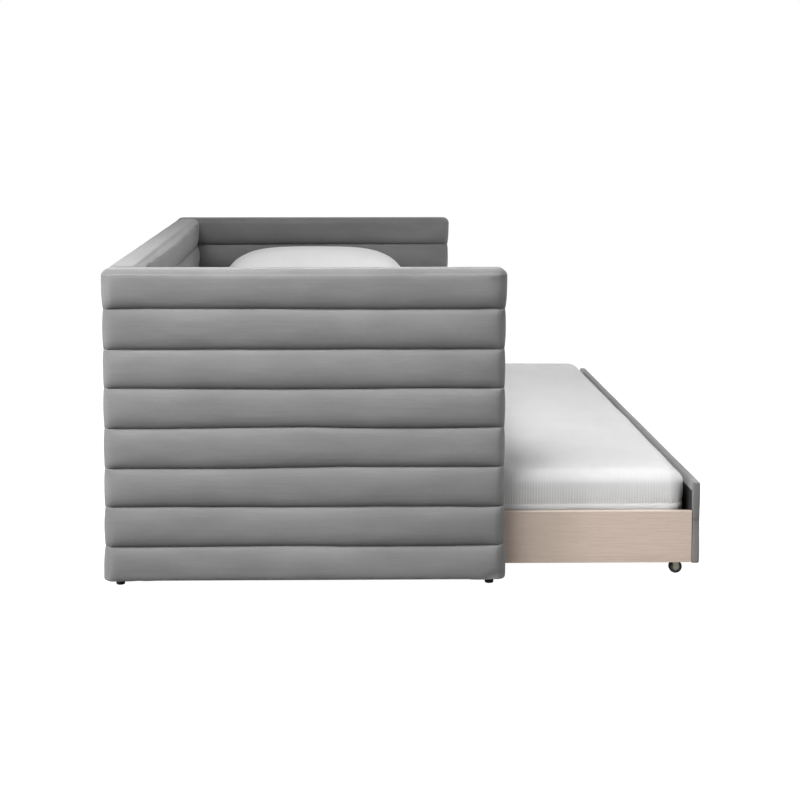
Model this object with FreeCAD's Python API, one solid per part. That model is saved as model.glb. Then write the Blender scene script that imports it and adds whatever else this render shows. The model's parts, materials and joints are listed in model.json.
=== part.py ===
"""A padded daybed with a pull-out trundle bed, in millimetres.

The origin is on the floor under the middle of the daybed's own footprint. +X runs along the bed towards its
right arm, +Y towards the back panel and +Z up. The trundle stands half pulled out, towards -Y.
"""

import FreeCAD, Part
import os
from FreeCAD import Vector

os.makedirs("parts", exist_ok=True)

# Daybed: overall size
bed_length = 2160.0
bed_depth = 1085.0
bed_height = 860.0
foot_height = 18.0
arm_thickness = 95.0
back_thickness = 92.5

# Upholstery: padded channels between horizontal seams
channel_pitch = 106.4
seam_sink = 14.0          # how deep a seam lies below the crests beside it
pad = 24.5                # wadding and cloth over a frame, at a crest
cloth = 2.0
edge_pad = 20.0           # padding over the narrow front and rear edges
board_skin = 3.0          # hardboard on both sides of a frame
member = 45.0             # width of the frames' timbers
dust_cover = 1.0
foot_radius = 12.0
nail_length = 28.0        # a foot's nail, up into its post
nail_radius = 2.5
seat_seam = bed_height - 4 * channel_pitch   # the back panel is padded inside from this seam up

# Mattresses, slats and rails
mattress_thickness = 200.0
mattress_corner = 60.0    # radius of its upright edges
mattress_rim = 28.0       # radius round its top and its bottom
slat_thickness = 15.0
slat_width = 65.0
slat_count = 14
slat_rounding = 3.0
strap_width = 25.0
rail_height = 131.0
rail_thickness = 30.5
rail_top = 436.0
rail_board = 18.0
ledger_width = 24.0
ledger_height = 40.0
centre_rail_height = 60.0
clear = 1.0               # between pieces that are only laid in
pillow_size = (430.0, 720.0, 171.0)
pillow_middle = -10.0

# Trundle
pulled_out = 544.5        # how far the trundle stands out of the closed position
trundle_gap = 8.0         # to each arm
trundle_depth = 1012.0
front_panel_bottom = 33.0
front_panel_top = 260.0
front_panel_thickness = 22.0
front_sink = 5.0
side_board = 15.0
side_bottom = 36.0
side_top = 180.0
trundle_slat_bottom = 82.0
trundle_slat_count = 13
trundle_slat_width = 70.0
trundle_ledger_height = 30.0
corner_block_long = 65.0
corner_block_short = 50.0
corner_block_height = 40.0
mattress_gap = 12.0       # between the trundle's mattress and its front panel

# Casters
wheel_radius = 18.0
wheel_width = 14.0
hub_radius = 12.0
axle_radius = 3.0
running_gap = 0.05
caster_inset = 61.0       # from the trundle's front or rear face to the axle
sheet_metal = 2.0

# Fasteners
bolt_radius = 3.0
screw_radius = 2.0
head_height = 3.0

# Places worked out from the sizes above
half_length = bed_length / 2
half_depth = bed_depth / 2
arm_inner = half_length - arm_thickness
back_outer = half_depth - 2.5
back_inner = back_outer - back_thickness
rail_bottom = rail_top - rail_height
rail_inner = -half_depth + rail_thickness
slat_bottom = rail_bottom + 72.0
slat_top = slat_bottom + slat_thickness
trundle_front = -half_depth - pulled_out
trundle_half = arm_inner - trundle_gap
panel_inner = trundle_front + front_panel_thickness
trundle_rear = trundle_front + trundle_depth
trundle_slat_top = trundle_slat_bottom + slat_thickness
bench = half_length - arm_thickness / 2      # the middle of an arm's thickness

solids = {}


def block(x, y, z):
    """A box between three pairs of limits."""
    return Part.makeBox(x[1] - x[0], y[1] - y[0], z[1] - z[0], Vector(x[0], y[0], z[0]))


def both(limit):
    """The pair of limits that lie the same way out on both sides of zero."""
    return (-limit, limit)


def rod(start, direction, length, radius):
    return Part.makeCylinder(radius, length, start, direction)


def mirrored(shape):
    """The same shape on the other side of the bed's middle."""
    return shape.mirror(Vector(0, 0, 0), Vector(1, 0, 0))


def eased(shape, radius=1.2):
    """The same board with all its edges rounded."""
    return shape.makeFillet(radius, shape.Edges)


def spread(count, limit):
    """Evenly spaced places from -limit to limit."""
    return [-limit + 2 * limit * i / (count - 1) for i in range(count)]


def keep(node, *shapes):
    """Adds separate solids to a node."""
    solids.setdefault(node, []).extend(shapes)


def drill(nodes, shafts, clearance=0.2):
    """Cuts a clearance hole for each shaft (start, direction, length, radius) through the nodes' solids."""
    for node in nodes:
        for start, direction, length, radius in shafts:
            hole = rod(start, direction, length, radius + clearance)
            solids[node] = [s.cut(hole) if s.distToShape(hole)[0] < 1e-6 else s for s in solids[node]]


def fasten(node, shafts, head_radius):
    """Bolts or screws whose heads bear where their shafts start."""
    for start, direction, length, radius in shafts:
        head = rod(start - direction * head_height, direction, head_height, head_radius)
        keep(node, head.fuse(rod(start, direction, length, radius)).removeSplitter())


# ---------------------------------------------------------------- upholstery

def channel_edges(bottom, top):
    """Seam heights from the top down, a pitch apart. A low remainder joins the lowest channel."""
    edges = [top]
    while edges[-1] - channel_pitch > bottom + channel_pitch / 2:
        edges.append(edges[-1] - channel_pitch)
    return [*edges, bottom]


def scallops(crest, seam, edges, point):
    """One arc per channel, from seam to seam, that bulges out to the crest."""
    return [
        Part.Arc(point(seam, top), point(crest, (top + bottom) / 2), point(seam, bottom)).toShape()
        for top, bottom in zip(edges, edges[1:])
    ]


def lines(point, *corners):
    """Straight edges through the given corners."""
    ends = [point(*corner) for corner in corners]
    return [Part.makeLine(a, b) for a, b in zip(ends, ends[1:])]


def extruded(edges, run):
    outline = Part.Wire(Part.__sortEdges__(edges))
    return Part.Face(outline).extrude(run)


def arm_cover():
    """The right arm's padded cover: channels on both sides, hollow round the frame and open below."""
    def point(x, z):
        return Vector(x, -half_depth, z)

    edges = channel_edges(foot_height, bed_height)
    inner_seam = arm_inner + seam_sink
    outer_seam = half_length - seam_sink
    outline = scallops(arm_inner, inner_seam, edges, point)
    outline += scallops(half_length, outer_seam, edges, point)
    outline += lines(point, (inner_seam, bed_height), (outer_seam, bed_height))
    outline += lines(point, (inner_seam, foot_height), (outer_seam, foot_height))
    hollow = block(arm_hollow, both(half_depth - edge_pad), (foot_height, bed_height - pad))
    return extruded(outline, Vector(0, bed_depth, 0)).cut(hollow)


def back_cover():
    """The back panel's cover, padded outside from top to bottom and inside above the seat."""
    def point(y, z):
        return Vector(-arm_inner, y, z)

    inner_seam = back_inner + seam_sink
    outer_seam = back_outer - seam_sink
    outline = scallops(back_outer, outer_seam, channel_edges(foot_height, bed_height), point)
    outline += scallops(back_inner, inner_seam, channel_edges(seat_seam, bed_height), point)
    outline += lines(point, (inner_seam, bed_height), (outer_seam, bed_height))
    outline += lines(
        point,
        (inner_seam, seat_seam),
        (back_hollow[0] - cloth, seat_seam),
        (back_hollow[0] - cloth, foot_height),
        (outer_seam, foot_height),
    )
    hollow = block(both(arm_inner - cloth), back_hollow, (foot_height, bed_height - pad))
    return extruded(outline, Vector(2 * arm_inner, 0, 0)).cut(hollow)


def panel_cover(half_run, front, inner, bottom, top):
    """A thin padded panel's cover: channels in front and a flat inner side."""
    def point(y, z):
        return Vector(-half_run, y, z)

    seam = front + front_sink
    outline = scallops(front, seam, channel_edges(bottom, top), point)
    outline += lines(point, (seam, top), (inner, top), (inner, bottom), (seam, bottom))
    return extruded(outline, Vector(2 * half_run, 0, 0))


def timber_frame(place, half_run, across, bottom, top):
    """Posts, three rails and studs of one panel. place(run, across, height) makes each timber."""
    low_rail = (bottom, bottom + member)
    middle_rail = (slat_bottom - 47, seat_seam + 6)
    high_rail = (top - member, top)
    inside = half_run - member
    timbers = [place((side - member, side), across, (bottom, top)) for side in (half_run, -inside)]
    timbers += [place(both(inside), across, heights) for heights in (low_rail, middle_rail, high_rail)]
    for lower, upper in ((low_rail, middle_rail), (middle_rail, high_rail)):
        timbers.append(place(both(member / 2), across, (lower[1], upper[0])))
    return timbers


def foot(x, y):
    """A plastic glide with a nail that goes up into the frame."""
    disc = rod(Vector(x, y, 0), Vector(0, 0, 1), foot_height, foot_radius)
    floor_edge = min(disc.Edges, key=lambda edge: edge.CenterOfMass.z)
    disc = disc.makeFillet(2.5, [floor_edge])
    nail = rod(Vector(x, y, foot_height), Vector(0, 0, 1), nail_length, nail_radius)
    return disc.fuse(nail).removeSplitter()


arm_hollow = (arm_inner + pad, half_length - pad)
back_hollow = (back_outer - 60.0, back_outer - pad)
frame_bottom = foot_height + dust_cover
frame_top = bed_height - pad


def arm_place(run, across, height):
    return block(across, run, height)


def back_place(run, across, height):
    return block(run, across, height)


def make_panel(name, place, half_run, hollow, feet):
    """One arm's or the back's frame, hardboard skins, dust cover and feet."""
    timber = (hollow[0] + board_skin, hollow[1] - board_skin)
    keep(name + "_frame", *timber_frame(place, half_run, timber, frame_bottom, frame_top))
    for skin in ((hollow[0], timber[0]), (timber[1], hollow[1])):
        keep(name + "_boards", place(both(half_run), skin, (frame_bottom, frame_top)))
    keep(name + "_dust_cover", place(both(half_run), hollow, (foot_height, frame_bottom)))
    keep(name + "_feet", *[foot(x, y) for x, y in feet])
    nails = [(Vector(x, y, foot_height), Vector(0, 0, 1), nail_length, nail_radius) for x, y in feet]
    drill([name + "_frame", name + "_dust_cover"], nails)


def make_daybed_panels():
    foot_in = half_depth - edge_pad - member / 2
    arm_feet = [(bench, y) for y in (-foot_in, foot_in)]
    keep("right_arm_cover", arm_cover())
    make_panel("right_arm", arm_place, half_depth - edge_pad, arm_hollow, arm_feet)
    keep("back_cover", back_cover())
    back_middle = sum(back_hollow) / 2
    back_post = arm_inner - cloth - member / 2
    back_feet = [(x, back_middle) for x in (-back_post, 0, back_post)]
    make_panel("back", back_place, arm_inner - cloth, back_hollow, back_feet)


def make_front_rail():
    inset = 4.0
    board_y = (rail_inner - cloth - rail_board, rail_inner - cloth)
    heights = (rail_bottom + inset, rail_top - inset)
    cover = panel_cover(arm_inner - clear, -half_depth, rail_inner, rail_bottom, rail_top)
    keep("front_rail_cover", cover.cut(block(both(arm_inner - clear), board_y, heights)))
    keep("front_rail_board", block(both(arm_inner - 2 * clear), board_y, heights))


# ---------------------------------------------------------------- bed base

def make_bed_base():
    """Ledgers, slats on two straps, and the centre rail in its two hangers."""
    ledger_run = both(arm_inner - 55)
    ledger_z = (slat_bottom - ledger_height, slat_bottom)
    back_face = back_hollow[0] - cloth
    keep("front_ledger", eased(block(ledger_run, (rail_inner, rail_inner + ledger_width), ledger_z)))
    keep("back_ledger", eased(block(ledger_run, (back_face - ledger_width, back_face), ledger_z)))
    screw_z = slat_bottom - ledger_height / 2
    places = spread(6, arm_inner - 130)
    front_face = rail_inner + ledger_width
    rear_face = back_face - ledger_width
    to_rail = [(Vector(x, front_face, screw_z), Vector(0, -1, 0), 40, screw_radius) for x in places]
    to_back = [(Vector(x, rear_face, screw_z), Vector(0, 1, 0), 50, screw_radius) for x in places]
    drill(["front_ledger", "front_rail_cover", "front_rail_board"], to_rail)
    drill(["back_ledger", "back_cover", "back_boards", "back_frame"], to_back)
    fasten("ledger_screws", to_rail + to_back, 4.0)

    slat_y = (rail_inner + 2 * cloth, back_face - 2 * cloth)
    last_slat = arm_inner - 80
    for x in spread(slat_count, last_slat):
        slat = block((x - slat_width / 2, x + slat_width / 2), slat_y, (slat_bottom, slat_top))
        keep("slats", eased(slat, slat_rounding))
    strap_run = both(last_slat + slat_width / 2)
    for y in (-280.0, 280.0):
        strap_y = (y - strap_width / 2, y + strap_width / 2)
        keep("slat_straps", block(strap_run, strap_y, (slat_bottom - 1.5, slat_bottom)))

    rail_y = both(20.0)
    rail_z = (slat_bottom - centre_rail_height, slat_bottom)
    keep("centre_rail", block(both(arm_inner - 5), rail_y, rail_z))
    seat = arm_inner - sheet_metal
    plate = block((seat, arm_inner), both(45), (rail_z[0] - sheet_metal, rail_z[0] + 55))
    trough = block((seat - 40, seat), both(20 + sheet_metal), (rail_z[0] - sheet_metal, rail_z[0] + 45))
    hanger = plate.fuse(trough.cut(block((seat - 40, seat), rail_y, rail_z))).removeSplitter()
    bolts = [(Vector(seat, y, slat_bottom - 30), Vector(1, 0, 0), 55, bolt_radius) for y in (-34, 34)]
    for start, direction, length, radius in bolts:
        hanger = hanger.cut(rod(start, direction, length, radius + 0.2))
    keep("centre_rail_hangers", hanger, mirrored(hanger))
    drill(["right_arm_cover", "right_arm_boards", "right_arm_frame"], bolts)
    fasten("hanger_bolts", bolts, 6.0)


def make_corner_brackets():
    """Steel angles that bolt the front rail and the back panel to the arms."""
    leg, thickness = 30.0, 3.0
    heights = (slat_top - 12, slat_top + 38)
    bolt_heights = (slat_top, slat_top + 26)
    for wall, inward in ((rail_inner, 1), (back_hollow[0] - cloth, -1)):
        along_arm = sorted((wall, wall + inward * leg))
        along_wall = sorted((wall, wall + inward * thickness))
        bracket = block((arm_inner - thickness, arm_inner), along_arm, heights)
        bracket = bracket.fuse(block((arm_inner - leg, arm_inner), along_wall, heights)).removeSplitter()
        hole = leg * 0.6
        to_arm = [
            (Vector(arm_inner - thickness, wall + inward * hole, z), Vector(1, 0, 0), 55, bolt_radius)
            for z in bolt_heights
        ]
        to_wall = [
            (Vector(arm_inner - hole, wall + inward * thickness, z), Vector(0, -inward, 0), 20, bolt_radius)
            for z in bolt_heights
        ]
        for start, direction, length, radius in to_arm + to_wall:
            bracket = bracket.cut(rod(start, direction, length, radius + 0.2))
        keep("corner_brackets", bracket, mirrored(bracket))
        drill(["right_arm_cover", "right_arm_boards", "right_arm_frame"], to_arm)
        both_ends = to_wall + [(Vector(-s.x, s.y, s.z), d, n, r) for s, d, n, r in to_wall]
        if inward > 0:
            drill(["front_rail_cover", "front_rail_board"], both_ends)
        else:
            drill(["back_cover", "back_boards", "back_frame"], both_ends)
        fasten("corner_bolts", to_arm + to_wall, 5.0)


def soft_block(x, y, z, upright=mattress_corner, lying=mattress_rim):
    """A soft block: upright edges rounded first, then the rims above and below."""
    shape = block(x, y, z)
    corners = [e for e in shape.Edges if abs(e.tangentAt(e.FirstParameter).z) > 0.9]
    shape = shape.makeFillet(upright, corners)
    rims = [e for e in shape.Edges if min(abs(e.CenterOfMass.z - height) for height in z) < 1e-3]
    return shape.makeFillet(lying, rims)


def make_bedding():
    mattress_half = arm_inner - 33
    mattress_y = (rail_inner + 5, back_inner - 2)
    top = slat_top + mattress_thickness
    keep("mattress", soft_block(both(mattress_half), mattress_y, (slat_top, top)))
    pillow_x = (arm_inner - pillow_size[0] - 4, arm_inner - 4)
    pillow_y = (pillow_middle - pillow_size[1] / 2, pillow_middle + pillow_size[1] / 2)
    keep("pillow", soft_block(pillow_x, pillow_y, (top + 0.5, top + 0.5 + pillow_size[2]), 90, 75))


# ---------------------------------------------------------------- trundle

def make_trundle_front():
    cover = panel_cover(trundle_half, trundle_front, panel_inner, front_panel_bottom, front_panel_top)
    wrap = 4.0
    board_y = (trundle_front + 8, panel_inner - 1.5)
    board_x = both(trundle_half - wrap)
    board_z = (front_panel_bottom + wrap, front_panel_top - wrap)
    hem = 25.0
    window_z = (front_panel_bottom + hem, front_panel_top - hem)
    backing = block(both(trundle_half - 7), (board_y[1], panel_inner), window_z)
    keep("trundle_front_cover", cover.cut(block(board_x, board_y, board_z)).cut(backing))
    keep("trundle_front_board", block(board_x, board_y, board_z))
    keep("trundle_front_backing", backing)


def make_trundle_box():
    """End and rear boards, corner blocks, ledgers, slats and the centre rail."""
    heights = (side_bottom, side_top)
    rear_inner = trundle_rear - side_board
    inner = trundle_half - side_board
    keep("trundle_right_board", eased(block((inner, trundle_half), (panel_inner, rear_inner), heights)))
    keep("trundle_back_board", eased(block(both(trundle_half), (rear_inner, trundle_rear), heights)))

    block_z = (trundle_slat_bottom - corner_block_height, trundle_slat_bottom)
    ledger_z = (trundle_slat_bottom - trundle_ledger_height, trundle_slat_bottom)
    block_x = (inner - corner_block_short, inner)
    for wall, inward in ((panel_inner, 1), (rear_inner, -1)):
        block_y = sorted((wall, wall + inward * corner_block_long))
        ledger_y = sorted((wall, wall + inward * ledger_width))
        corner = block(block_x, block_y, block_z)
        keep("trundle_corner_blocks", corner, mirrored(corner))
        ledger = "trundle_front_ledger" if inward > 0 else "trundle_back_ledger"
        keep(ledger, eased(block(both(block_x[0]), ledger_y, ledger_z)))
        screw_z = trundle_slat_bottom - 12
        screws = [
            (Vector(block_x[0], wall + inward * away, screw_z), Vector(1, 0, 0), 59, screw_radius)
            for away in (31, 53)
        ]
        screws += [(Vector(-s.x, s.y, s.z), -d, n, r) for s, d, n, r in screws]
        drill(["trundle_corner_blocks", "trundle_right_board"], screws)
        fasten("trundle_block_screws", screws, 4.0)

    slat_y = (panel_inner + cloth, rear_inner - cloth)
    for x in spread(trundle_slat_count, inner - trundle_slat_width / 2 - 22):
        slat_x = (x - trundle_slat_width / 2, x + trundle_slat_width / 2)
        slat = block(slat_x, slat_y, (trundle_slat_bottom, trundle_slat_top))
        keep("trundle_slats", eased(slat, slat_rounding))

    middle = (panel_inner + rear_inner) / 2
    rail_y = (middle - 20, middle + 20)
    rail_z = (trundle_slat_bottom - 38, trundle_slat_bottom)
    keep("trundle_centre_rail", block(both(inner - 3), rail_y, rail_z))
    shoe_y = (middle - 20 - sheet_metal, middle + 20 + sheet_metal)
    shoe = block((inner - 40, inner), shoe_y, (rail_z[0] - sheet_metal, rail_z[0] + 30))
    shoe = shoe.cut(block((inner - 40, inner - sheet_metal), rail_y, rail_z))
    keep("trundle_rail_shoes", shoe, mirrored(shoe))

    mattress_y = (panel_inner + mattress_gap, rear_inner - 4)
    mattress_z = (trundle_slat_top, trundle_slat_top + mattress_thickness)
    keep("trundle_mattress", soft_block(both(inner - 7), mattress_y, mattress_z))


# ---------------------------------------------------------------- casters

def caster_fork(x, y):
    """A pressed plate with two legs that hold the axle."""
    plate_z = trundle_slat_bottom - corner_block_height
    top = (plate_z - sheet_metal, plate_z)
    reach = wheel_width / 2 + 1 + sheet_metal
    fork = block((x - 35, x + reach + 1), (y - 22, y + 22), top)
    for low in (-reach, reach - sheet_metal):
        leg_x = (x + low, x + low + sheet_metal)
        leg = block(leg_x, (y - 8, y + 8), (wheel_radius, top[0]))
        leg = leg.fuse(rod(Vector(leg_x[0], y, wheel_radius), Vector(1, 0, 0), sheet_metal, 8))
        fork = fork.fuse(leg)
    through = rod(Vector(x - 20, y, wheel_radius), Vector(1, 0, 0), 40, axle_radius + running_gap)
    return fork.removeSplitter().cut(through)


def caster_axle(x, y):
    """A pin riveted over on the outside of both legs."""
    reach = wheel_width / 2 + 1 + sheet_metal
    head = 1.5
    axle = rod(Vector(x - reach, y, wheel_radius), Vector(1, 0, 0), 2 * reach, axle_radius)
    for start in (x - reach - head, x + reach):
        axle = axle.fuse(rod(Vector(start, y, wheel_radius), Vector(1, 0, 0), head, 4.5))
    return axle.removeSplitter()


def caster_hub(x, y):
    """A moulded wheel centre, dished on both sides, that turns on the axle."""
    start = Vector(x - wheel_width / 2, y, wheel_radius)
    along = Vector(1, 0, 0)
    hub = rod(start, along, wheel_width, hub_radius)
    hub = hub.cut(rod(start, along, wheel_width, axle_radius + running_gap))
    dish = rod(start, along, 2, hub_radius - 1.8).cut(rod(start, along, 2, 5.5))
    return hub.cut(dish).cut(dish.translated(Vector(wheel_width - 2, 0, 0)))


def caster_tyre(x, y):
    start = Vector(x - wheel_width / 2, y, wheel_radius)
    tyre = rod(start, Vector(1, 0, 0), wheel_width, wheel_radius)
    rims = [e for e in tyre.Edges if e.Length > wheel_radius * 6]
    tyre = tyre.makeFillet(2.5, rims)
    return tyre.cut(rod(start, Vector(1, 0, 0), wheel_width, hub_radius + running_gap))


def make_casters():
    wheel_x = trundle_half - side_board - 12.0
    plate_z = trundle_slat_bottom - corner_block_height
    for end, y in (("front", trundle_front + caster_inset), ("back", trundle_rear - caster_inset)):
        screws = [
            (Vector(wheel_x + dx, y + dy, plate_z - sheet_metal), Vector(0, 0, 1), 20, screw_radius)
            for dx in (-28, 5)
            for dy in (-15, 15)
        ]
        fork = caster_fork(wheel_x, y)
        for start, direction, length, radius in screws:
            fork = fork.cut(rod(start, direction, length, radius + 0.2))
        drill(["trundle_corner_blocks"], screws)
        drill(["trundle_corner_blocks"], [(Vector(-s.x, s.y, s.z), d, n, r) for s, d, n, r in screws])
        fasten("caster_screws", screws, 3.5)
        parts = {
            "fork": fork,
            "axle": caster_axle(wheel_x, y),
            "hub": caster_hub(wheel_x, y),
            "tyre": caster_tyre(wheel_x, y),
        }
        for kind, shape in parts.items():
            keep(f"{end}_right_caster_{kind}", shape)
            keep(f"{end}_left_caster_{kind}", mirrored(shape))


def mirror_to_left():
    """The left arm, the trundle's left board and the fasteners on that side."""
    for node in list(solids):
        if node.startswith("right_arm"):
            keep(node.replace("right", "left", 1), *[mirrored(s) for s in solids[node]])
    keep("trundle_left_board", mirrored(solids["trundle_right_board"][0]))
    for node in ("hanger_bolts", "corner_bolts", "caster_screws"):
        keep(node, *[mirrored(s) for s in solids[node]])


make_daybed_panels()
make_front_rail()
make_bed_base()
make_corner_brackets()
make_bedding()
make_trundle_front()
make_trundle_box()
make_casters()
mirror_to_left()

for name, shapes in solids.items():
    shape = shapes[0] if len(shapes) == 1 else Part.makeCompound(shapes)
    shape.exportStep(f"parts/{name}.step")
    print(name, len(shapes), "solids", all(s.isValid() for s in shapes))
print(len(solids), "nodes")
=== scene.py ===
"""The looks of a padded daybed with a pull-out trundle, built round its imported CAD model.

Every length is in metres, in the model's own frame: +X along the bed, +Y towards its back, +Z up.
Places come from the CAD nodes' boxes. The velvet channels, mattresses and pillow replace plain CAD solids.
"""

import json
import math

import bpy
import numpy as np
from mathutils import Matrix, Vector, noise


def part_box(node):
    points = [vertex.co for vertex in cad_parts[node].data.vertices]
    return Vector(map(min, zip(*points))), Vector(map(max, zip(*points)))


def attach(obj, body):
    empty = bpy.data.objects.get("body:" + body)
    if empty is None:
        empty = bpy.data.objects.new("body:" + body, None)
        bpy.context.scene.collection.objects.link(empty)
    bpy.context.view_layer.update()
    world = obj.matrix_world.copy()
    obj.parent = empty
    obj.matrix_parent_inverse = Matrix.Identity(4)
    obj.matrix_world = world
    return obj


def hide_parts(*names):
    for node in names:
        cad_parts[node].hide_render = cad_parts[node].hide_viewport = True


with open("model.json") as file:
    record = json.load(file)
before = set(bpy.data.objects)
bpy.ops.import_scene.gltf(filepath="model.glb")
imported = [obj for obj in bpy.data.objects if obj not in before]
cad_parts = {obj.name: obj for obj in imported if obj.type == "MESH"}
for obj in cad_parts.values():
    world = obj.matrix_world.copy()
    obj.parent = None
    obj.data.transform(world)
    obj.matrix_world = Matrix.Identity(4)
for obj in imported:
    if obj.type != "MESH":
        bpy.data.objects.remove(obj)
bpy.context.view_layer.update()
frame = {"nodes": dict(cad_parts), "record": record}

# Upholstery: the channels and how the cloth lies over them
CHANNEL_PITCH = 0.1064
CHANNEL_ROWS = 12            # rows of faces up one channel
SEAM_SINK = 0.018            # depth of a seam below the crests beside it
CREST_CORNER = 0.026         # a full channel turns a corner in a wide curve
SEAM_CORNER = 0.017          # the cloth drawn in at a seam turns it tightly
CORNER_SHAPE = 1.5           # 2 is a round corner and 1 a flat chamfer
CORNER_REACH = 0.055         # how far from a corner a seam takes to reach its depth
SEAM_AT_CORNER = 0.30        # share of the depth left where the cloth is pulled round a corner
OUTER_EDGE = 0.35            # how much of the roundness the first and last channels have at their outer edges
FULLNESS = 2.3               # 2 is a round channel, and a larger one is flatter with steeper flanks
BELLY = 0.09                 # where a channel hangs down most, as a share of its half height
SAG = 0.0028                 # how far a channel's belly hangs over the seam below it
SEAM_WAVE = 0.004            # how far a sewn line strays from level
SEAM_SHADE_ATTRIBUTE = "painted_seam_shade"              # the mesh attribute that paints shade into the velvet's colour towards a seam
TUCK = 0.006                 # how far a panel's hidden end goes into the padding beside it

GIVE = 0.12                  # share of any inward move of a cloth skin that its stuffing lets through
CORNER_LINES = 4             # grid lines round a panel's upright corner
FACE_WIDTH = 0.016           # how wide a panel's faces are, as a rule
SWELL = 0.0015               # how unevenly the channels are filled
SWELL_SIZE = 0.22            # how far apart the fuller places are
SEAM_SHADE_FADE = 0.02            # how far from a panel's end the painted seam shade takes to reach its full depth
HELD_END = 0.004             # width of the cloth that is fixed at a panel's hidden end
CLOTH = 0.002                # room for cloth that lies straight on boards
SEAT_CHANNELS = 4            # channels of the back that show above the seat

# Ribbed mattress cover
RIB_PITCH = 0.0076
RIB_HEIGHT = 0.0009
LINES_PER_RIB = 4
BORDER = np.array([0.045, 0.05, 0.04])   # radii of a mattress's edges, along each axis
CROWN = 0.010                # how much higher the middle of a mattress is than its edge
HEM_WIDTH = 0.012
HEM_LEVEL = 0.48             # height of the hem's top, as a share of the mattress's thickness
HEM_EDGE = 0.001             # half the width of the step at each side of the tape
HEM_TAPE = 0.0018            # how far the tape stands out
HEM_SQUEEZE = 0.0035         # how far the border is drawn in round the hem

# Pillow
PILLOW_STEP = 0.016
PILLOW_SEAM = 0.42           # height of the sewn edge, as a share of the pillow's thickness
PILLOW_CORNER = 0.1          # the same at the corners, which droop
PILLOW_WAIST = 0.04          # how far the middle of a side is drawn in, as a share of the half size
PILLOW_POINT = 0.05          # the same at a corner
PILLOW_REST = 0.22           # share of the height that presses on the mattress
PILLOW_PRESSED = 0.15        # how much of that share is left when it is pressed flat

# Veneer
VENEER_LIGHT = (0.60, 0.49, 0.415)
VENEER_DARK = (0.55, 0.445, 0.37)

# Camera
LENS = 70.4
SHIFT = (0.056, -0.20)
CAMERA_PLACE = (-5.197, -0.0692, 1.267)
CAMERA_PITCH = 0.0797        # downwards, in radians
CAMERA_YAW = 0.0160          # towards -Y, in radians

ALONG_X, ALONG_Y = 0, 1


# ---------------------------------------------------------------- meshes

def span(node):
    """The lowest and highest corners of a CAD node as two arrays."""
    low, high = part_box(node)
    return np.array(low), np.array(high)


def ends_refined(low, high, radius, step, corner_lines=3):
    """Grid lines from low to high: a few in each rounded end and even steps between them."""
    corner = np.linspace(0, radius, corner_lines + 1)[:-1]
    count = max(2, int(round((high - low - 2 * radius) / step)) + 1)
    middle = np.linspace(low + radius, high - radius, count)
    return np.concatenate([low + corner, middle, (high - corner)[::-1]])


def surface_grid(xs, ys, zs):
    """Points and quads of a box's surface, on three sets of grid lines."""
    lines = [np.asarray(xs), np.asarray(ys), np.asarray(zs)]
    shape = [len(line) for line in lines]
    index = np.indices(shape)
    outside = np.zeros(shape, bool)
    for axis in range(3):
        outside |= (index[axis] == 0) | (index[axis] == shape[axis] - 1)
    number = np.full(shape, -1)
    number[outside] = np.arange(outside.sum())
    points = np.stack([lines[axis][index[axis][outside]] for axis in range(3)], axis=1)
    quads = []
    for axis in range(3):
        for side in (0, -1):
            slab = np.take(number, side, axis=axis)
            quad = np.stack([slab[:-1, :-1], slab[1:, :-1], slab[1:, 1:], slab[:-1, 1:]], axis=-1)
            quad = quad.reshape(-1, 4)
            faces_out = (side == -1) != (axis == 1)
            quads.append(quad if faces_out else quad[:, ::-1])
    return points, np.concatenate(quads)


def rounded(points, low, high, radius, shape=2.0):
    """The points pushed onto a box with rounded edges, and the outward normals there.

    radius is a number, or one for each axis, or one for each point and axis. A shape of 2 makes the upright
    edges round, and a smaller one makes them flatter.
    """
    radius = np.minimum(np.asarray(radius) * np.ones(points.shape), (high - low) / 2 - 1e-5)
    core = np.clip(points, low + radius, high - radius)
    out = (points - core) / radius
    level = (np.abs(out[:, :2]) ** shape).sum(axis=1, keepdims=True) ** (1 / shape)
    length = np.hypot(level, out[:, 2:])
    out = out / np.maximum(length, 1e-9)
    normal = out / np.maximum(np.linalg.norm(out, axis=1, keepdims=True), 1e-9)
    return core + out * radius, normal


def reach_in(place, low, high, nominal, actual):
    """Moves grid lines so that the ones meant for a corner of nominal radius fit one of the actual radius."""
    half = (high - low) / 2
    from_end = half - np.abs(place - (low + high) / 2)
    beyond = actual + (from_end - nominal) * (half - actual) / (half - nominal)
    fitted = np.where(from_end < nominal, from_end * actual / nominal, beyond)
    return (low + high) / 2 + np.sign(place - (low + high) / 2) * (half - fitted)


def make_object(name, points, quads):
    mesh = bpy.data.meshes.new(name)
    mesh.from_pydata(points.tolist(), [], quads.tolist())
    mesh.validate()
    mesh.shade_smooth()
    piece = bpy.data.objects.new(name, mesh)
    bpy.context.scene.collection.objects.link(piece)
    return piece


def positions(piece):
    flat = np.empty(len(piece.data.vertices) * 3)
    piece.data.vertices.foreach_get("co", flat)
    return flat.reshape(-1, 3)


def set_positions(piece, points):
    piece.data.vertices.foreach_set("co", points.ravel())
    piece.data.update()


def smooth_noise(points, size, seed):
    """One value from -1 to 1 for each point, that changes over the given size."""
    shift = Vector((17.3 * seed, 5.1 * seed, 9.7 * seed))   # far enough for each seed to give its own pattern
    return np.array([noise.noise(Vector(p) / size + shift) for p in points])


def subdivide(piece, levels=1):
    """Smoothing subdivision, applied to the mesh."""
    modifier = piece.modifiers.new("smooth", "SUBSURF")
    modifier.levels = modifier.render_levels = levels
    graph = bpy.context.evaluated_depsgraph_get()
    finished = bpy.data.meshes.new_from_object(piece.evaluated_get(graph))
    piece.modifiers.clear()
    old, piece.data = piece.data, finished
    bpy.data.meshes.remove(old)
    piece.data.shade_smooth()


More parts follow.
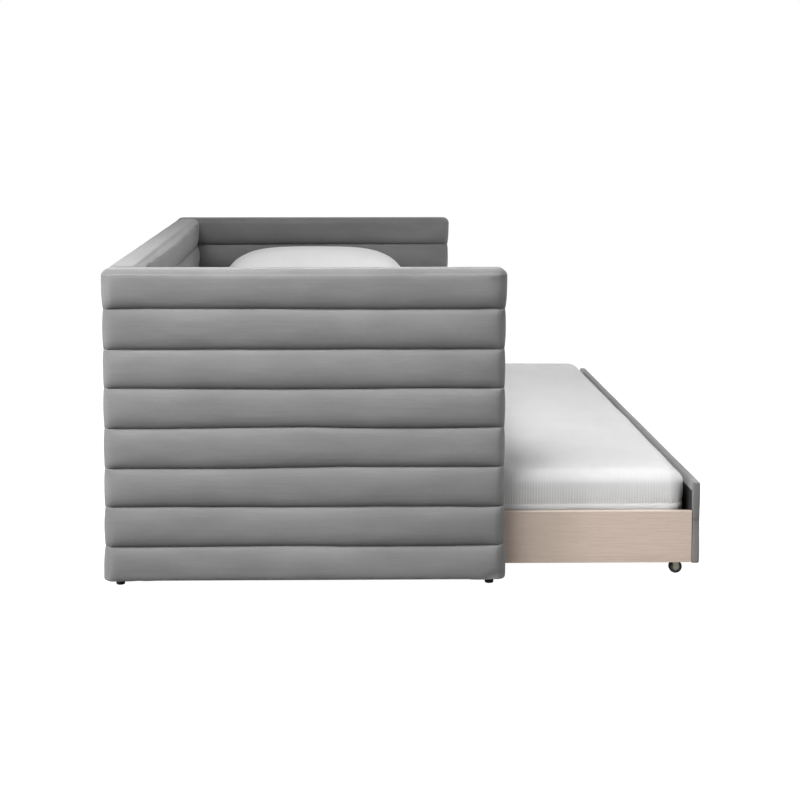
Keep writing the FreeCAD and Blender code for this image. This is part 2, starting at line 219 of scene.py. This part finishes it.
def puff(piece, pinned, pressure, slack, cap, frames=16):
    """Lets air pressure fill a cloth skin that is held at its pinned points, then applies the result.

    slack is how much larger the cloth is cut than the form it covers, and cap is how far a point may move.
    """
    start = positions(piece)
    group = piece.vertex_groups.new(name="pinned")
    group.add([int(i) for i in np.flatnonzero(pinned)], 1.0, "REPLACE")
    cloth = piece.modifiers.new("cloth", "CLOTH")
    settings = cloth.settings
    settings.quality = 5
    settings.mass = 0.25
    settings.tension_stiffness = settings.compression_stiffness = 12
    settings.shear_stiffness = 4
    settings.bending_stiffness = 0.6
    settings.tension_damping = settings.compression_damping = 6
    settings.air_damping = 2
    settings.use_pressure = True
    settings.uniform_pressure_force = pressure
    settings.shrink_min = -slack
    settings.vertex_group_mass = group.name
    settings.effector_weights.gravity = 0
    cloth.point_cache.frame_start = 1
    cloth.point_cache.frame_end = frames
    scene = bpy.context.scene
    for number in range(1, frames + 1):
        scene.frame_set(number)
    graph = bpy.context.evaluated_depsgraph_get()
    settled = bpy.data.meshes.new_from_object(piece.evaluated_get(graph))
    flat = np.empty(len(settled.vertices) * 3)
    settled.vertices.foreach_get("co", flat)
    bpy.data.meshes.remove(settled)
    piece.modifiers.clear()
    piece.vertex_groups.clear()
    scene.frame_set(1)
    moved = flat.reshape(-1, 3) - start
    normals = np.empty(flat.shape)
    piece.data.vertices.foreach_get("normal", normals)
    normals = normals.reshape(-1, 3)
    inward = np.minimum((moved * normals).sum(axis=1, keepdims=True), 0)
    moved -= normals * inward * (1 - GIVE)
    distance = np.linalg.norm(moved, axis=1, keepdims=True)
    set_positions(piece, start + moved * (np.tanh(distance / cap) * cap / np.maximum(distance, 1e-9)))


def clear_of(piece, *nodes, margin=0.0015):
    """Moves any point of a cover that lies in or close to what it covers out through the nearest side."""
    points = positions(piece)
    for node in nodes:
        low, high = span(node)
        depth = np.concatenate([points - (low - margin), (high + margin) - points], axis=1)
        for i in np.flatnonzero((depth > 0).all(axis=1)):
            side = int(np.argmin(depth[i]))
            axis = side % 3
            points[i, axis] = (low - margin)[axis] if side < 3 else (high + margin)[axis]
    set_positions(piece, points)


# ---------------------------------------------------------------- velvet channels

def seam_levels(bottom, top):
    """The seams' heights from the top down, a pitch apart, with both ends."""
    edges = [top]
    while edges[-1] - CHANNEL_PITCH > bottom + CHANNEL_PITCH / 2:
        edges.append(edges[-1] - CHANNEL_PITCH)
    return np.array([bottom, *edges[::-1]])


def channel_rows(levels):
    """Heights of the grid's rows: close together at each seam and wider over the crests."""
    shares = (1 - np.cos(np.pi * np.arange(CHANNEL_ROWS) / CHANNEL_ROWS)) / 2
    rows = [low + (high - low) * shares for low, high in zip(levels, levels[1:])]
    return np.concatenate([*rows, levels[-1:]])


def sink_share(heights, levels):
    """0 on a channel's crest and 1 in the seams between channels, on a round profile."""
    which = np.clip(np.searchsorted(levels, heights, side="right") - 1, 0, len(levels) - 2)
    low, high = levels[which], levels[which + 1]
    across = 2 * (heights - low) / (high - low) - 1
    share = 1 - np.clip(1 - np.abs(across) ** FULLNESS, 0, 1) ** (1 / FULLNESS)
    outer = ((which == 0) & (across < 0)) | ((which == len(levels) - 2) & (across > 0))
    return np.where(outer, share * OUTER_EDGE, share)


def seam_shade_amount(heights, levels):
    """1 in each seam, falling to 0 up the underside of the channel above it: how much shade is painted into
    the velvet's colour there.
    """
    which = np.clip(np.searchsorted(levels, heights, side="right") - 1, 0, len(levels) - 2)
    upper_half = heights > (levels[which] + levels[which + 1]) / 2
    return np.where(upper_half | (which == 0), 0.0, sink_share(heights, levels))


def belly(heights, levels):
    """How far each point of a channel hangs down: most of all just above the seam below it."""
    which = np.clip(np.searchsorted(levels, heights, side="right") - 1, 0, len(levels) - 2)
    above_seam = 2 * (heights - levels[which]) / (levels[which + 1] - levels[which])
    hang = above_seam / BELLY * np.exp(1 - above_seam / BELLY)
    return np.where(which == 0, 0.0, hang * SAG)


def smooth_step(x):
    x = np.clip(x, 0, 1)
    return x * x * (3 - 2 * x)


def eased_at_corner(distance):
    """The share of a seam's depth at each distance from a corner that the cloth is pulled round."""
    return SEAM_AT_CORNER + (1 - SEAM_AT_CORNER) * smooth_step(distance / CORNER_REACH)


def padded_panel(name, low, high, run, sinks, seed, step=0.0145, free_ends=True, crest_corner=CREST_CORNER,
                 rim=(0.006, 0.020), stuffed=True):
    """An upholstered panel with horizontal channels.

    run is the axis that its length lies along. sinks gives the seam depth on the side that faces -, the side
    that faces + and the narrow ends. free_ends says that the cloth is wrapped round both ends. rim gives the
    radius of the bottom and of the top edge. A panel that isn't stuffed has its cloth stretched flat.
    """
    across = 1 - run
    levels = seam_levels(low[2], high[2])
    rims = [
        low[2] + rim[0] * 0.4,
        low[2] + rim[0],
        high[2] - rim[1] * 0.25,
        high[2] - rim[1] * 0.6,
        high[2] - rim[1],
    ]
    rows = np.unique(np.round(np.concatenate([channel_rows(levels), rims]), 5))
    lines = [None, None, rows]
    lines[run] = ends_refined(low[run], high[run], crest_corner, step, CORNER_LINES)
    side_corner = min(crest_corner, (high - low)[across] / 3)
    lines[across] = ends_refined(low[across], high[across], side_corner, FACE_WIDTH)
    grid, quads = surface_grid(*lines)

    heights = grid[:, 2]
    share = sink_share(heights, levels)
    middle = (levels[0] + levels[-1]) / 2
    seam_corner = min(SEAM_CORNER, crest_corner)
    corner = seam_corner + (crest_corner - seam_corner) * (1 - share)
    points = grid.copy()
    points[:, run] = reach_in(grid[:, run], low[run], high[run], crest_corner, corner)
    edge = np.where(heights > middle, rim[1], rim[0])
    radius = np.stack([corner, np.minimum(corner, (high - low)[across] * 0.4), edge], axis=1)
    if run == ALONG_Y:
        radius = radius[:, [1, 0, 2]]
    points, normal = rounded(points, low, high, radius, CORNER_SHAPE)

    near_end = np.minimum(points[:, run] - low[run], high[run] - points[:, run])
    near_side = np.minimum(points[:, across] - low[across], high[across] - points[:, across])
    facing = np.abs(normal[:, across]) ** 2
    side_depth = np.where(normal[:, across] > 0, sinks[1], sinks[0])
    if free_ends:
        side_depth = side_depth * eased_at_corner(near_end)
    end_depth = sinks[2] * eased_at_corner(near_side)
    depth = side_depth * facing + end_depth * (1 - facing)
    level_out = 1 - np.abs(normal[:, 2])
    horizontal = normal * [1, 1, 0]
    swell = smooth_noise(points * [1, 1, 3], SWELL_SIZE, seed) * SWELL
    points = points + horizontal * (swell * (1 - share) - share * depth * level_out)[:, None]

    inside_rims = (heights > low[2] + rim[0]) & (heights < high[2] - rim[1])
    stray = smooth_noise(points * [1, 1, 6], 0.35, seed + 3) * SEAM_WAVE
    stray += smooth_noise(points * [1, 1, 6], 0.09, seed + 4) * SEAM_WAVE * 0.25
    points[:, 2] += stray * inside_rims * np.minimum(1, np.abs(heights - low[2]) / 0.05)
    points[:, 2] -= belly(heights, levels) * inside_rims

    piece = make_object(name, points, quads)
    # Painted shade: how much the velvet's colour is darkened in each seam and up the underside of the channel
    # above it, halved towards the panel's ends.
    painted_seam_shade = piece.data.attributes.new(SEAM_SHADE_ATTRIBUTE, "FLOAT", "POINT")
    fade = 1 - 0.5 * smooth_step(1 - near_end / SEAM_SHADE_FADE)
    painted_seam_shade.data.foreach_set("value", seam_shade_amount(heights, levels) * fade)
    held = (share > 0.999) | (heights < low[2] + rim[0]) | (heights > high[2] - 0.7 * rim[1])
    if not free_ends:
        held |= near_end < HELD_END
    if stuffed:
        puff(piece, held, pressure=3.5, slack=0.008, cap=0.006)
    subdivide(piece)
    return piece


def make_arm(side):
    low, high = span(f"{side}_arm_cover")
    sinks = (SEAM_SINK, SEAM_SINK, 0.010)
    seed = 2 if side == "left" else 3
    arm = padded_panel(f"{side}_arm_velvet", low, high, ALONG_Y, sinks, seed)
    clear_of(arm, f"{side}_arm_boards")
    return finish_piece(arm, "daybed", f"{side}_arm_cover", "velvet")


def make_back():
    """The back panel. Inside, below the seat, only cloth covers the frame, so that the trundle has room."""
    low, high = span("back_cover")
    low[0] -= TUCK
    high[0] += TUCK
    sinks = (SEAM_SINK, SEAM_SINK, 0.0)
    back = padded_panel("back_velvet", low, high, ALONG_X, sinks, seed=5, step=0.0205, free_ends=False)
    points = positions(back)
    seat_seam = high[2] - SEAT_CHANNELS * CHANNEL_PITCH
    bare_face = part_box("back_boards")[0][1] - CLOTH
    inside = points[:, 1] < (low[1] + high[1]) / 2
    below = smooth_step((seat_seam - points[:, 2]) / 0.012)
    flat = np.maximum(points[:, 1], bare_face)
    points[:, 1] = np.where(inside, points[:, 1] * (1 - below) + flat * below, points[:, 1])
    set_positions(back, points)
    return finish_piece(back, "daybed", "back_cover", "velvet")


def make_front_rail():
    low, high = span("front_rail_cover")
    low[0] -= TUCK
    high[0] += TUCK
    sinks = (0.009, 0.0, 0.0)
    rail = padded_panel("front_rail_velvet", low, high, ALONG_X, sinks, seed=8, step=FACE_WIDTH,
                        free_ends=False, crest_corner=0.011, rim=(0.010, 0.010))
    clear_of(rail, "front_rail_board")
    return finish_piece(rail, "daybed", "front_rail_cover", "velvet")


def make_trundle_front():
    """The trundle's thin front panel, whose inner side leaves a window for the lining."""
    low, high = span("trundle_front_cover")
    sinks = (0.0035, 0.0, 0.001)
    panel = padded_panel("trundle_front_velvet", low, high, ALONG_X, sinks, seed=11, step=FACE_WIDTH,
                         crest_corner=0.005, rim=(0.004, 0.005), stuffed=False)
    clear_of(panel, "trundle_front_board", margin=0.0005)
    points = positions(panel)
    window_low, window_high = span("trundle_front_backing")
    recess = points[:, 1] > (low[1] + high[1]) / 2
    for axis in (0, 2):
        recess &= (points[:, axis] > window_low[axis]) & (points[:, axis] < window_high[axis])
    points[recess, 1] = np.minimum(points[recess, 1], (window_low[1] + window_high[1]) / 2)
    set_positions(panel, points)
    return finish_piece(panel, "trundle", "trundle_front_cover", "velvet")


# ---------------------------------------------------------------- bedding

def make_mattress(name, node, body, seed):
    """A mattress in a ribbed knit: ribs along the top and down both ends, and a hem tape round its border."""
    low, high = span(node)
    size = high - low
    hem_top = low[2] + HEM_LEVEL * size[2]
    hem_bottom = hem_top - HEM_WIDTH
    xs = ends_refined(low[0], high[0], BORDER[0], 0.05, 6)
    ys = np.arange(low[1], high[1] + 1e-6, RIB_PITCH / LINES_PER_RIB)
    ys[-1] = high[1]
    zs = np.concatenate([
        ends_refined(low[2], high[2], BORDER[2], 0.012, 6),
        [hem_bottom - HEM_EDGE, hem_bottom + HEM_EDGE, (hem_bottom + hem_top) / 2],
        [hem_top - HEM_EDGE, hem_top + HEM_EDGE],
    ])
    zs = np.unique(np.round(zs, 5))
    grid, quads = surface_grid(xs, ys, zs)
    points, normal = rounded(grid, low, high, BORDER)

    crown = CROWN * (1 - ((points[:, 0] - (low + high)[0] / 2) / (size[0] / 2)) ** 4)
    crown *= 1 - ((points[:, 1] - (low + high)[1] / 2) / (size[1] / 2)) ** 4
    upper = smooth_step((points[:, 2] - low[2]) / size[2] * 2 - 1)
    points[:, 2] += (crown - CROWN) * upper

    slow = smooth_noise(points, 0.23, seed) * 0.0022
    slow = slow + smooth_noise(points * [0.6, 1, 1.4], 0.09, seed + 1) * 0.0010
    points += normal * (slow * (grid[:, 2] > low[2] + BORDER[2]))[:, None]

    rows = (grid[:, 2] - hem_bottom) / HEM_WIDTH
    on_hem = (rows > -0.02) & (rows < 1.02)
    tape = np.where(on_hem, HEM_TAPE, 0.0) * (1 - np.abs(normal[:, 2]))
    squeeze = -HEM_SQUEEZE * np.exp(-((grid[:, 2] - (hem_top + hem_bottom) / 2) / 0.02) ** 2)
    border = 1 - np.abs(normal[:, 2])
    points += normal * ((tape + squeeze) * border)[:, None]

    wander = smooth_noise(points * [1, 0.2, 1], 0.3, seed + 2) * 0.0012
    phase = (grid[:, 1] + wander) / RIB_PITCH
    rib = np.abs(np.cos(np.pi * phase)) ** 1.3 * RIB_HEIGHT
    side_on = np.abs(normal[:, 1])
    ribbed = (1 - smooth_step(side_on * 1.6)) * ~on_hem * (normal[:, 2] > -0.2)
    points += normal * (rib * ribbed)[:, None]

    piece = make_object(name, points, quads)
    return finish_piece(piece, body, node, "mattress_cloth")


def make_pillow():
    """A pillow: two sheets sewn round their edge and filled, then sized to the CAD solid."""
    low, high = span("pillow")
    size = high - low
    counts = np.round(size[:2] / PILLOW_STEP).astype(int)
    xs = np.linspace(-1, 1, counts[0] + 1)
    ys = np.linspace(-1, 1, counts[1] + 1)
    points, quads = surface_grid(xs, ys, np.array([-1.0, 0.0, 1.0]))
    u, v, w = points.T
    loft = (1 - np.abs(u) ** 4) * (1 - np.abs(v) ** 5)
    corner = (u * v) ** 4
    narrowed = 1 - PILLOW_WAIST * (1 - v ** 2) * np.abs(u) - PILLOW_POINT * corner
    shortened = 1 - PILLOW_WAIST * (1 - u ** 2) * np.abs(v) - PILLOW_POINT * corner
    seam = size[2] * (PILLOW_SEAM - (PILLOW_SEAM - PILLOW_CORNER) * (u * v) ** 2)
    thickness = 0.003 + loft * np.where(w > 0, size[2] - seam, seam)
    across = u * size[0] / 2 * narrowed
    along = v * size[1] / 2 * shortened
    shape = np.stack([across, along, seam + w * thickness], axis=1)
    piece = make_object("pillow_soft", shape, quads)
    puff(piece, np.abs(w) < 0.5, pressure=2.0, slack=0.012, cap=0.012, frames=16)
    subdivide(piece)
    points = positions(piece)
    extent_low, extent_high = points.min(0), points.max(0)
    points = low + (points - extent_low) / (extent_high - extent_low) * size
    level = low[2] + PILLOW_REST * size[2]
    under = points[:, 2] < level
    points[under, 2] = low[2] + (points[under, 2] - low[2]) * PILLOW_PRESSED
    rest = points[~under, 2]
    room = high[2] - low[2] - PILLOW_PRESSED * PILLOW_REST * size[2]
    points[~under, 2] = high[2] - (high[2] - rest) * room / (high[2] - level)
    set_positions(piece, points)
    return finish_piece(piece, "daybed", "pillow", "pillow_cloth")


def finish_piece(piece, body, node, slot):
    piece.data.materials.append(materials[slot])
    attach(piece, body)
    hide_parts(node)
    return piece


# ---------------------------------------------------------------- materials

class Shader:
    """A small helper that adds nodes to one material and links them."""

    def __init__(self, name, roughness, **fixed):
        self.material = bpy.data.materials.new(name)
        self.material.use_nodes = True
        self.tree = self.material.node_tree
        self.principled = self.tree.nodes["Principled BSDF"]
        self.principled.inputs["Roughness"].default_value = roughness
        for socket, value in fixed.items():
            self.principled.inputs[socket.replace("_", " ")].default_value = value
        self.place = self.add("ShaderNodeTexCoord").outputs["Object"]

    def add(self, kind, **settings):
        node = self.tree.nodes.new(kind)
        for key, value in settings.items():
            setattr(node, key, value)
        return node

    def link(self, source, target):
        self.tree.links.new(source, target)

    def stretched(self, scale):
        mapping = self.add("ShaderNodeMapping")
        mapping.inputs["Scale"].default_value = scale
        self.link(self.place, mapping.inputs["Vector"])
        return mapping.outputs["Vector"]

    def noise(self, scale, stretch=(1, 1, 1), detail=3.0, roughness=0.5):
        """Noise whose features are about 1/scale metres across."""
        node = self.add("ShaderNodeTexNoise")
        node.inputs["Scale"].default_value = scale
        node.inputs["Detail"].default_value = detail
        node.inputs["Roughness"].default_value = roughness
        self.link(self.stretched(stretch), node.inputs["Vector"])
        return node.outputs["Fac"]

    def ramp(self, value, stops):
        node = self.add("ShaderNodeValToRGB")
        while len(node.color_ramp.elements) < len(stops):
            node.color_ramp.elements.new(0.5)
        for element, (at, colour) in zip(node.color_ramp.elements, stops):
            element.position = at
            element.color = (*colour, 1)
        self.link(value, node.inputs["Fac"])
        return node.outputs["Color"]

    def mix(self, factor, first, second, blend="MIX"):
        node = self.add("ShaderNodeMix", data_type="RGBA", blend_type=blend)
        if isinstance(factor, float):
            node.inputs["Factor"].default_value = factor
        else:
            self.link(factor, node.inputs["Factor"])
        self.link(first, node.inputs["A"])
        self.link(second, node.inputs["B"])
        return node.outputs["Result"]

    def scaled(self, value, low, high):
        node = self.add("ShaderNodeMapRange")
        node.inputs["To Min"].default_value = low
        node.inputs["To Max"].default_value = high
        self.link(value, node.inputs["Value"])
        return node.outputs["Result"]

    def colour(self, source):
        self.link(source, self.principled.inputs["Base Color"])

    def rough(self, value, low, high):
        self.link(self.scaled(value, low, high), self.principled.inputs["Roughness"])

    def bump(self, *layers):
        """Heights in metres, each a (value, height) pair, as one chain of bump nodes."""
        normal = None
        for value, height in layers:
            node = self.add("ShaderNodeBump")
            node.inputs["Strength"].default_value = 1.0
            node.inputs["Distance"].default_value = height
            self.link(value, node.inputs["Height"])
            if normal is not None:
                self.link(normal, node.inputs["Normal"])
            normal = node.outputs["Normal"]
        self.link(normal, self.principled.inputs["Normal"])


def grey(value, warmth=0.0):
    return (value * (1 + warmth), value, value * (1 - warmth))


def velvet():
    """Short pile that shades from light to dark as it leans, with faint streaks along the channels, and
    painted shade that darkens its colour into each seam.
    """
    s = Shader("velvet", 0.85, Sheen_Weight=0.35, Sheen_Roughness=0.45)
    lean = s.noise(5, (1, 1, 2.5), detail=4)
    streaks = s.noise(9, (0.6, 0.6, 14), detail=3)
    pile = s.noise(700, detail=2)
    tone = s.ramp(lean, [(0.3, grey(0.168)), (0.7, grey(0.215, 0.004))])
    bands = s.ramp(streaks, [(0.3, grey(0.95)), (0.7, grey(1.0))])
    speckle = s.ramp(pile, [(0.3, grey(0.92)), (0.7, grey(1.0))])
    # Painted shade: the seam attribute darkens the base colour up each channel's underside and into the seam,
    # in place of the shadow there.
    painted_seam_shade = s.add("ShaderNodeAttribute", attribute_name=SEAM_SHADE_ATTRIBUTE).outputs["Fac"]
    seam_darkening = s.ramp(painted_seam_shade, [(0.0, grey(1.0)), (0.15, grey(0.9)), (0.45, grey(0.62)), (0.75, grey(0.38)),
                            (1.0, grey(0.08))])
    cloth = s.mix(1.0, s.mix(1.0, tone, bands, "MULTIPLY"), speckle, "MULTIPLY")
    s.colour(s.mix(1.0, cloth, seam_darkening, "MULTIPLY"))
    s.rough(lean, 0.78, 0.92)
    s.bump((lean, 0.003), (streaks, 0.0004), (pile, 0.0004))
    return s.material


def knit(name, base, weave_height):
    """White bedding cloth with a fine weave."""
    s = Shader(name, 0.9, Sheen_Weight=0.15, Sheen_Roughness=0.5)
    soft = s.noise(6, detail=3)
    weave = s.add("ShaderNodeTexWave", wave_type="BANDS", bands_direction="DIAGONAL")
    weave.inputs["Scale"].default_value = 260
    weave.inputs["Distortion"].default_value = 1.5
    s.link(s.place, weave.inputs["Vector"])
    threads = s.noise(900, detail=2)
    tone = s.ramp(soft, [(0.3, grey(base * 0.95)), (0.7, grey(base))])
    fine = s.ramp(threads, [(0.3, grey(0.95)), (0.7, grey(1.0))])
    s.colour(s.mix(1.0, tone, fine, "MULTIPLY"))
    s.rough(threads, 0.82, 0.95)
    s.bump((soft, 0.002), (weave.outputs["Fac"], weave_height), (threads, 0.0002))
    return s.material


def wood(name, light, dark, along, roughness, line_scale=60):
    """Straight-grained wood whose grain runs along one axis."""
    s = Shader(name, roughness)
    stretch = [1.0, 1.0, 1.0]
    stretch[along] = 0.03
    figure = s.noise(line_scale / 4, tuple(stretch), detail=5, roughness=0.6)
    fine = s.noise(line_scale * 5, tuple(stretch), detail=3)
    pores = s.noise(line_scale * 14, tuple(stretch), detail=2)
    base = s.ramp(figure, [(0.3, dark), (0.5, light), (0.75, tuple(c * 1.04 for c in light))])
    lines = s.ramp(fine, [(0.3, grey(0.9)), (0.6, grey(1.0))])
    dots = s.ramp(pores, [(0.31, grey(0.86)), (0.4, grey(1.0))])
    s.colour(s.mix(1.0, s.mix(1.0, base, lines, "MULTIPLY"), dots, "MULTIPLY"))
    s.rough(fine, roughness + 0.08, roughness - 0.08)
    s.bump((figure, 0.0004), (fine, 0.0002), (pores, 0.0001))
    return s.material


def hardboard():
    s = Shader("hardboard", 0.7)
    fibre = s.noise(220, detail=5, roughness=0.7)
    cloud = s.noise(12, detail=3)
    tone = s.ramp(cloud, [(0.3, (0.22, 0.13, 0.07)), (0.7, (0.3, 0.18, 0.1))])
    flecks = s.ramp(fibre, [(0.35, grey(0.75)), (0.65, grey(1.0))])
    s.colour(s.mix(1.0, tone, flecks, "MULTIPLY"))
    s.rough(fibre, 0.6, 0.8)
    s.bump((fibre, 0.0003))
    return s.material


def nonwoven(name, tone, cross):
    """Thin black cloth: pressed dimples, or the crossed threads of webbing."""
    s = Shader(name, 0.9)
    fuzz = s.noise(600, detail=3)
    pattern = s.add("ShaderNodeTexVoronoi")
    pattern.inputs["Scale"].default_value = cross
    s.link(s.place, pattern.inputs["Vector"])
    s.colour(s.ramp(fuzz, [(0.3, grey(tone * 0.7)), (0.7, grey(tone * 1.4))]))
    s.rough(fuzz, 0.8, 0.95)
    s.bump((pattern.outputs["Distance"], 0.0006), (fuzz, 0.0002))
    return s.material


def plastic(name, tone, roughness):
    s = Shader(name, roughness)
    grain = s.noise(500, detail=4)
    scuffs = s.noise(45, (1, 1, 4), detail=5, roughness=0.7)
    marks = s.ramp(scuffs, [(0.4, grey(0.8)), (0.7, grey(1.15))])
    base = s.ramp(grain, [(0.3, tone), (0.7, tuple(c * 1.2 for c in tone))])
    s.colour(s.mix(1.0, base, marks, "MULTIPLY"))
    s.rough(scuffs, roughness - 0.1, roughness + 0.1)
    s.bump((grain, 0.0001))
    return s.material


def zinc():
    """Yellow-passivated steel, with a cloudy tint and fine scratches."""
    s = Shader("zinc_steel", 0.35, Metallic=1.0)
    clouds = s.noise(60, detail=4)
    scratches = s.noise(300, (1, 1, 0.08), detail=3)
    tint = s.ramp(clouds, [(0.3, (0.55, 0.5, 0.36)), (0.6, (0.68, 0.65, 0.55)), (0.8, (0.6, 0.62, 0.6))])
    s.colour(tint)
    s.rough(scratches, 0.25, 0.5)
    s.bump((scratches, 0.00005))
    return s.material


def make_materials():
    return {
        "velvet": velvet(),
        "black_lining": nonwoven("black_lining", 0.018, 420),
        "frame_wood": wood("frame_wood", (0.6, 0.42, 0.24), (0.42, 0.27, 0.14), ALONG_X, 0.7),
        "hardboard": hardboard(),
        "slat_wood": wood("slat_wood", (0.66, 0.5, 0.32), (0.5, 0.35, 0.2), ALONG_Y, 0.55),
        "veneer": wood("veneer", VENEER_LIGHT, VENEER_DARK, ALONG_Y, 0.5),
        "webbing": nonwoven("webbing", 0.03, 700),
        "mattress_cloth": knit("mattress_cloth", 0.69, 0.0002),
        "pillow_cloth": knit("pillow_cloth", 0.78, 0.0001),
        "black_plastic": plastic("black_plastic", (0.015, 0.015, 0.015), 0.45),
        "hub_plastic": plastic("hub_plastic", (0.16, 0.19, 0.165), 0.4),
        "tyre_rubber": plastic("tyre_rubber", (0.02, 0.02, 0.02), 0.7),
        "zinc_steel": zinc(),
    }


def dress_cad_nodes():
    """Gives each carried-over CAD node its slot's material."""
    for part in frame["record"]["subparts"]:
        mesh = frame["nodes"][part["node"]].data
        mesh.materials.clear()
        mesh.materials.append(materials[part["material_slot"]])
    veneer_long = wood("veneer_long", VENEER_LIGHT, VENEER_DARK, ALONG_X, 0.5)
    frame["nodes"]["trundle_back_board"].data.materials[0] = veneer_long


# ---------------------------------------------------------------- camera, lights and floor

def make_camera():
    data = bpy.data.cameras.new("camera")
    data.sensor_width = 36
    data.lens = LENS
    data.shift_x, data.shift_y = SHIFT
    camera = bpy.data.objects.new("camera", data)
    bpy.context.scene.collection.objects.link(camera)
    camera.location = CAMERA_PLACE
    level = math.cos(CAMERA_PITCH)
    ahead = Vector((level * math.cos(CAMERA_YAW), -level * math.sin(CAMERA_YAW), -math.sin(CAMERA_PITCH)))
    camera.rotation_mode = "QUATERNION"
    camera.rotation_quaternion = ahead.to_track_quat("-Z", "Y")
    bpy.context.scene.camera = camera


def area_light(name, place, target, size, power, spread=180):
    """A square softbox; a spread under 180 degrees keeps its light off what is beside its target."""
    data = bpy.data.lights.new(name, "AREA")
    data.size = size
    data.energy = power
    data.spread = math.radians(spread)
    light = bpy.data.objects.new(name, data)
    bpy.context.scene.collection.objects.link(light)
    light.location = place
    light.rotation_mode = "QUATERNION"
    light.rotation_quaternion = (Vector(target) - Vector(place)).to_track_quat("-Z", "Y")


def make_world(seen, lit):
    """A white studio: what the camera sees behind the object, and the softer light that it gives."""
    world = bpy.data.worlds.new("studio")
    world.use_nodes = True
    tree = world.node_tree
    background = tree.nodes["Background"]
    background.inputs["Color"].default_value = (1, 1, 1, 1)
    path = tree.nodes.new("ShaderNodeLightPath")
    strength = tree.nodes.new("ShaderNodeMapRange")
    strength.inputs["To Min"].default_value = lit
    strength.inputs["To Max"].default_value = seen
    tree.links.new(path.outputs["Is Camera Ray"], strength.inputs["Value"])
    tree.links.new(strength.outputs["Result"], background.inputs["Strength"])
    bpy.context.scene.world = world


def make_floor():
    size = 30.0
    mesh = bpy.data.meshes.new("floor")
    corners = [(-size, -size, 0), (size, -size, 0), (size, size, 0), (-size, size, 0)]
    mesh.from_pydata(corners, [], [(0, 1, 2, 3)])
    floor = bpy.data.objects.new("floor", mesh)
    bpy.context.scene.collection.objects.link(floor)
    s = Shader("floor", 0.9, Emission_Color=(1, 1, 1, 1))
    s.colour(s.ramp(s.noise(2), [(0.3, grey(0.2)), (0.7, grey(0.21))]))
    seen = s.scaled(s.add("ShaderNodeLightPath").outputs["Is Camera Ray"], 0.0, 1.0)
    s.link(seen, s.principled.inputs["Emission Strength"])
    mesh.materials.append(s.material)


def make_lights():
    make_world(seen=1.0, lit=0.12)
    area_light("key", (-2.6, 0.9, 3.5), (-1.08, 0.0, 0.9), 2.2, 35, spread=66)
    area_light("side", (-2.6, 3.4, 1.5), (-1.08, 0.2, 0.6), 1.2, 12, spread=50)
    area_light("trundle_end", (-3.0, -3.2, 1.4), (-0.95, -1.0, 0.2), 1.2, 1.8, spread=40)
    area_light("over_trundle", (0.2, -2.2, 3.6), (0, -1.0, 0.3), 2.8, 10, spread=120)
    area_light("overhead", (0.5, -0.5, 4.5), (0, -0.3, 0), 3.0, 5)
    area_light("front", (1.2, -5.0, 1.2), (0, -0.8, 0.4), 2.2, 88)
    area_light("behind", (4.6, 2.4, 2.2), (0.3, 0.2, 0.4), 2.5, 66)
    area_light("far_end", (3.6, 0.35, 0.5), (1.08, 0.0, 0.45), 0.9, 14, spread=90)
    bpy.context.scene.view_settings.view_transform = "Standard"


make_camera()
make_lights()
make_floor()
materials = make_materials()
dress_cad_nodes()
for side in ("left", "right"):
    make_arm(side)
make_back()
make_front_rail()
make_trundle_front()
make_mattress("daybed_mattress", "mattress", "daybed", 41)
make_mattress("trundle_mattress_ribbed", "trundle_mattress", "trundle", 47)
make_pillow()
